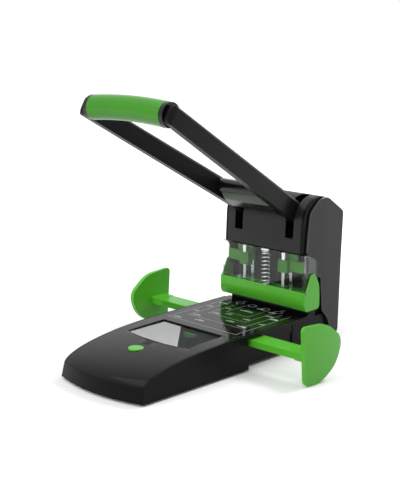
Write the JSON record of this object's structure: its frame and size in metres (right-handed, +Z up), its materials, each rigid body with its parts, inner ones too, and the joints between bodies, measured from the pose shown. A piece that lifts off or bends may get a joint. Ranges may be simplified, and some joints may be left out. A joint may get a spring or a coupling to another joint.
{
  "type": "heavy-duty lever hole punch",
  "caption": "Heavy-duty lever-operated paper punch with clear-fronted punching head, sliding rack paper guides, long handle with grip and a chip tray.",
  "frame": {"origin": "on the floor under the middle of the overall box", "axes": "+Z up, -Y towards the user, +X to the user's right; the punch line runs along X"},
  "size_m": [0.399, 0.4536, 0.4069],
  "materials": {
    "black_body": "fine satin texture",
    "black_gloss": "polished",
    "green_body": "satin",
    "clear": "clear polished plastic",
    "card": "printed card",
    "rubber": "matt",
    "chrome": "polished",
    "steel": "machined",
    "black_steel": "black powder coat",
    "white_plastic": "natural acetal",
    "brass": "sintered bronze"
  },
  "bodies": {
    "base": {"base_shell": "black_body", "top_cover": "black_gloss", "window_lens": "clear", "format_card": "card", "button_spring": "steel", "rubber_feet": "rubber", "base_plate": "black_steel", "base_screws": "steel", "chassis": "black_body", "die_plate": "steel", "die_bushes": "steel", "back_stop": "black_body", "guide_carrier": "black_body", "pinion_post": "steel", "head_body": "green_body", "stripper_plate": "chrome", "head_screws": "chrome", "clear_shield": "clear", "guide_columns": "chrome", "chamber_wall": "black_body", "side_plate_right": "black_steel", "side_plate_left": "black_steel", "side_panel_right": "black_body", "side_panel_left": "black_body", "front_cover": "black_body", "rear_cover": "black_body", "pivot_shaft": "steel", "shaft_bushes": "brass", "tie_rods": "steel", "handle_stop": "steel", "return_spring": "chrome"},
    "handle": {"lever_right": "steel", "lever_left": "steel", "lever_hub": "steel", "drive_bar": "steel", "handle_arm_right": "black_body", "handle_arm_left": "black_body", "handle_bridge": "black_gloss", "grip": "green_body", "grip_core": "steel", "grip_collar_right": "black_gloss", "grip_collar_left": "black_gloss"},
    "press": {"press_beam": "steel", "beam_bushes": "brass", "punch_carrier_right": "green_body", "punch_carrier_left": "green_body", "punch_pin_right": "chrome", "punch_pin_left": "chrome", "spring_seat": "chrome"},
    "tray": {"chip_tray": "black_body"},
    "button": {"tray_button": "green_body"},
    "pinion": {"pinion": "white_plastic"},
    "guide_right": {"guide_bar_right": "green_body", "guide_paddle_right": "green_body"},
    "guide_left": {"guide_bar_left": "green_body", "guide_paddle_left": "green_body"}
  },
  "joints": [
    {"name": "handle_pivot", "type": "hinge", "parent": "base", "child": "handle", "pos_m": [0, 0.171, 0.198], "axis": [1, 0, 0], "range_deg": [0, 40], "stiffness_Nm_per_rad": 4, "springref_deg": -51.57},
    {"name": "press_slide", "type": "slide", "parent": "base", "child": "press", "axis": [0, 0, -1], "range_m": [0, 0.0172], "deforming": ["return_spring"]},
    {"name": "tray_slide", "type": "slide", "parent": "base", "child": "tray", "axis": [0, -1, 0], "range_m": [0, 0.2]},
    {"name": "button_press", "type": "slide", "parent": "base", "child": "button", "axis": [0, 0, -1], "range_m": [0, 0.0025], "stiffness_N_per_m": 400, "springref_m": -0.002, "deforming": ["button_spring"]},
    {"name": "guide_right_slide", "type": "slide", "parent": "base", "child": "guide_right", "axis": [1, 0, 0], "range_m": [-0.065, 0]},
    {"name": "guide_left_slide", "type": "slide", "parent": "base", "child": "guide_left", "axis": [-1, 0, 0], "range_m": [-0.065, 0]},
    {"name": "pinion_spin", "type": "hinge", "parent": "base", "child": "pinion", "pos_m": [0, 0.05035, 0.041], "axis": [0, 0, 1], "range_deg": [-249, 0]}
  ],
  "couplings": [
    {"joint": "press_slide", "follows": "handle_pivot", "m_per_rad": 0.0245},
    {"joint": "guide_left_slide", "follows": "guide_right_slide", "ratio": 1},
    {"joint": "pinion_spin", "follows": "guide_right_slide", "rad_per_m": 66.667}
  ]
}
